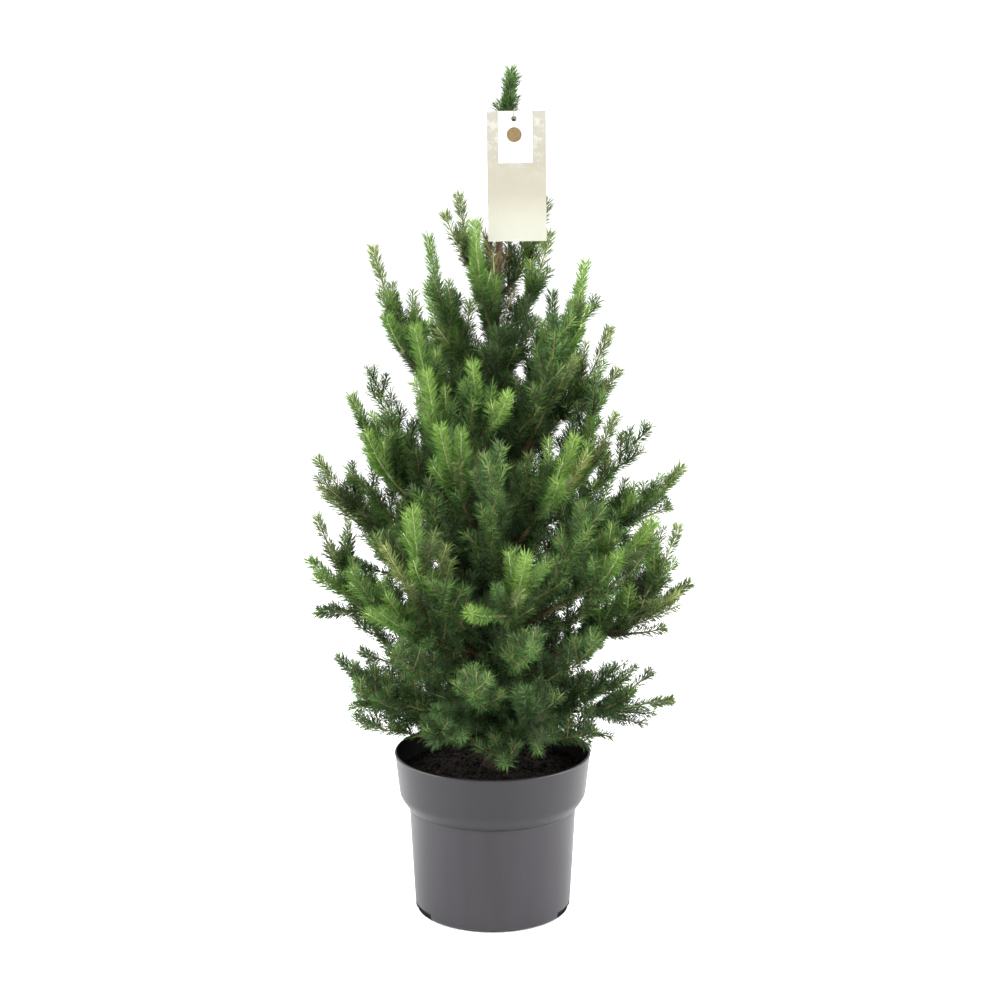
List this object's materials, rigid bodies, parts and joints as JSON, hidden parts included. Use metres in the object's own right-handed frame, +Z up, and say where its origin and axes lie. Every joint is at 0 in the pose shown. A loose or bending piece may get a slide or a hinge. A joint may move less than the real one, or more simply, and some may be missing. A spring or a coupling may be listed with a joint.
{
  "type": "potted dwarf alberta spruce",
  "caption": "Young cone-shaped dwarf spruce with dense upright needle shoots, standing in a round grey nursery pot, with a blank care label tied to its leading shoot.",
  "frame": {"origin": "middle of the flat underside of the pot", "axes": "+Z up along the pot's axis, -Y towards the front, where the label hangs"},
  "size_m": [0.3647, 0.3509, 0.8121],
  "materials": {
    "pot": "satin",
    "soil": "matte",
    "bark": "matte",
    "needles": "matte",
    "label": "matte",
    "tie": "matte"
  },
  "bodies": {
    "root": {"pot": "pot", "soil": "soil", "trunk": "bark", "bough_upper_1": "bark", "bough_upper_2": "bark", "bough_upper_3": "bark", "bough_upper_4": "bark", "bough_upper_5": "bark", "bough_middle_1": "bark", "bough_middle_2": "bark", "bough_middle_3": "bark", "bough_middle_4": "bark", "bough_middle_5": "bark", "bough_middle_6": "bark", "bough_lower_1": "bark", "bough_lower_2": "bark", "bough_lower_3": "bark", "bough_lower_4": "bark", "bough_lower_5": "bark", "bough_lower_6": "bark", "bough_lower_7": "bark", "bough_lower_8": "bark", "bough_lower_9": "bark", "needles_crown_1": "needles", "needles_crown_2": "needles", "needles_crown_3": "needles", "needles_crown_4": "needles", "needles_crown_5": "needles", "needles_crown_6": "needles", "needles_upper_1": "needles", "needles_upper_2": "needles", "needles_upper_3": "needles", "needles_upper_4": "needles", "needles_upper_5": "needles", "needles_rear_1": "needles", "needles_middle_1": "needles", "needles_middle_2": "needles", "needles_middle_3": "needles", "needles_middle_4": "needles", "needles_middle_5": "needles", "needles_middle_6": "needles", "needles_lower_1": "needles", "needles_lower_2": "needles", "needles_lower_3": "needles", "needles_lower_4": "needles", "needles_lower_5": "needles", "needles_lower_6": "needles", "needles_lower_7": "needles", "needles_lower_8": "needles", "needles_lower_9": "needles", "needles_skirt_1": "needles", "needles_skirt_2": "needles", "needles_skirt_3": "needles", "needles_skirt_4": "needles", "needles_skirt_5": "needles", "needles_skirt_6": "needles", "needles_leader": "needles", "label": "label", "label_tie": "tie"}
  },
  "joints": []
}
